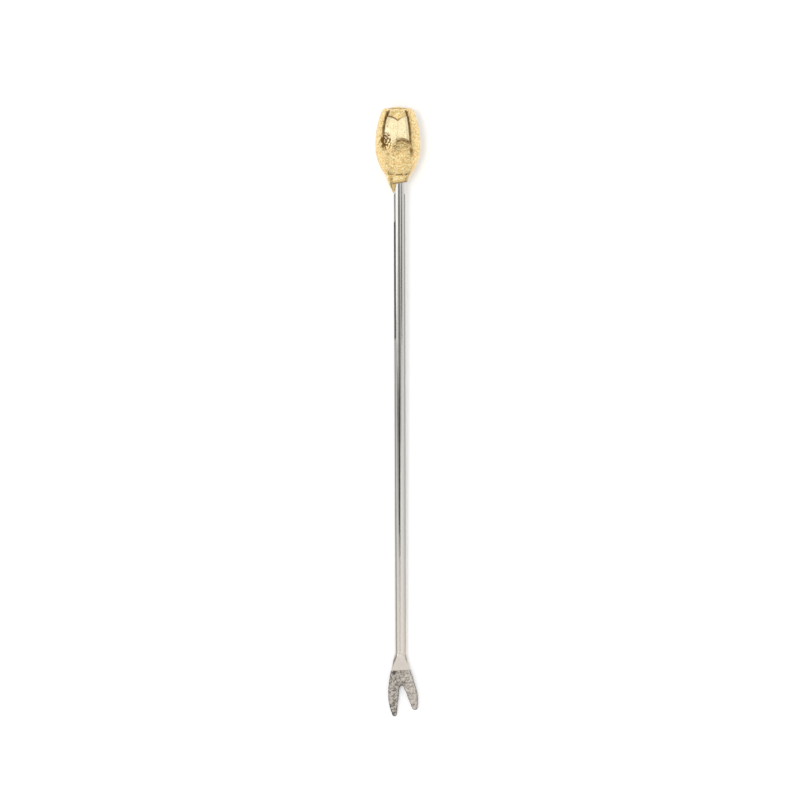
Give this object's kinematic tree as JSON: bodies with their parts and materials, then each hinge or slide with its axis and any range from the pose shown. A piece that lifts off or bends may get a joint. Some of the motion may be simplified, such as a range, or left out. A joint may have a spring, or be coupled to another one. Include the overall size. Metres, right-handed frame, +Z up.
{
  "type": "cocktail pick",
  "caption": "Slim cocktail pick: a gilt petalled bud on a round polished steel stem that is forged into a short uneven fork at its other end.",
  "frame": {"origin": "centre of the part's box in plan, on the surface that it lies on", "axes": "+Y along the pick towards the bud, +Z up, +X to the right seen from above with the bud at the top; the stem's axis rises by about 1.9 degrees towards the bud"},
  "size_m": [0.0114, 0.1524, 0.0114],
  "materials": {
    "gilt_brass": "cast brass, gold plated and burnished, with a grainy cast skin and dark creases",
    "polished_steel": "drawn stainless bar, polished; satin fan and hammered prongs"
  },
  "bodies": {
    "root": {"bud_finial": "gilt_brass", "fork_stem": "polished_steel"}
  },
  "joints": []
}
